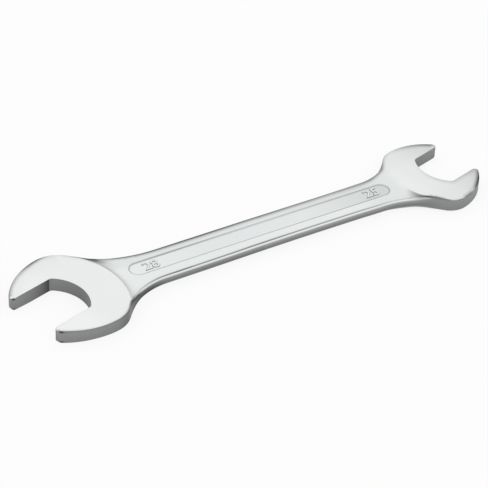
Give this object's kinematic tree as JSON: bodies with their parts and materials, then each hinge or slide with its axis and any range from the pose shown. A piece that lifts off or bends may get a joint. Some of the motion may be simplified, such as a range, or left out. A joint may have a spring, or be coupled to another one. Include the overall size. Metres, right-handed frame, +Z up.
{
  "type": "double open end wrench",
  "caption": "Flat double open end wrench with turned heads of unequal size, open jaws, and a slim shank with a long sunk panel.",
  "frame": {"origin": "the middle of the bounding box, on the plane that the wrench lies on", "axes": "+X along the shank from the large head to the small head, +Z up, square to the flat faces, +Y across the shank"},
  "size_m": [0.2522, 0.059, 0.0074],
  "materials": {
    "chrome_plate": "polished head faces, satin shank and sides"
  },
  "bodies": {
    "root": {"wrench_forging": "chrome_plate"}
  },
  "joints": []
}
